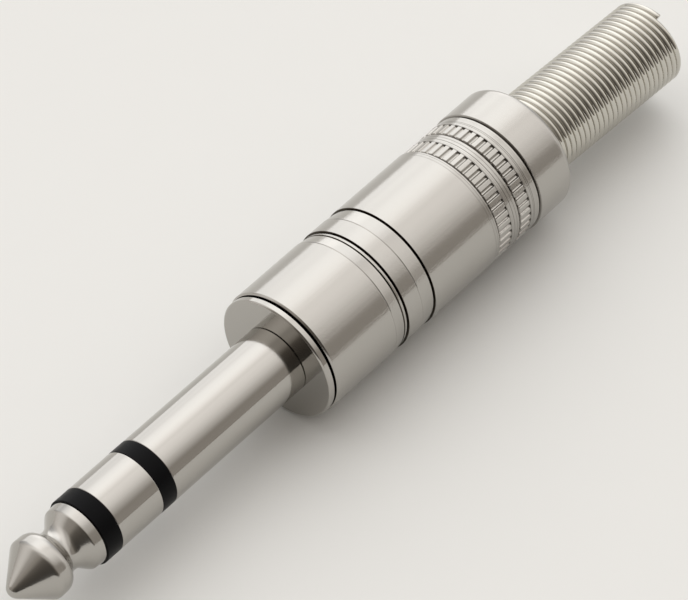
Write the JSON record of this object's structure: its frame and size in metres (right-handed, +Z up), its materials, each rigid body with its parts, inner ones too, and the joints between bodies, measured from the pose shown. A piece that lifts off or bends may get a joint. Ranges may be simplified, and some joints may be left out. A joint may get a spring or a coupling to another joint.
{
  "type": "stereo jack plug",
  "caption": "Three-contact 6.35 mm audio plug with a turned metal shell that unscrews, two bands of short flutes and a close-wound spring as the cable's bend relief.",
  "frame": {"origin": "on the plug's axis, in the plane of the shoulder that stops against the socket", "axes": "nose towards -X, cable end towards +X, +Z up"},
  "size_m": [0.0806, 0.012, 0.012],
  "materials": {
    "nickel_polished": "polished nickel plate on turned brass",
    "nickel_satin": "satin nickel plate on turned brass",
    "spring_wire": "bright plated spring wire",
    "black_insulator": "moulded, slight sheen",
    "washer_board": "punched laminated board",
    "tinned_lug": "tinned, stamped",
    "liner_plastic": "extruded natural plastic"
  },
  "bodies": {
    "core": {"tip_contact": "nickel_polished", "tip_insulator": "black_insulator", "ring_contact": "nickel_polished", "ring_insulator": "black_insulator", "inner_tube": "black_insulator", "outer_tube": "black_insulator", "sleeve_body": "nickel_polished", "cable_clamp": "tinned_lug", "ring_washer": "washer_board", "ring_lug": "tinned_lug", "tip_washer": "washer_board", "tip_lug": "tinned_lug"},
    "liner": {"liner": "liner_plastic"},
    "shell": {"shell": "nickel_satin", "spring": "spring_wire"}
  },
  "joints": [
    {"name": "shell_draw", "type": "slide", "parent": "core", "child": "liner", "axis": [1, 0, 0], "range_m": [0, 0.00488]},
    {"name": "shell_unscrew", "type": "hinge", "parent": "liner", "child": "shell", "pos_m": [0, 0, 0], "axis": [1, 0, 0], "range_deg": [0, 2340]}
  ],
  "couplings": [
    {"joint": "shell_draw", "follows": "shell_unscrew", "m_per_rad": 0.00011937}
  ]
}
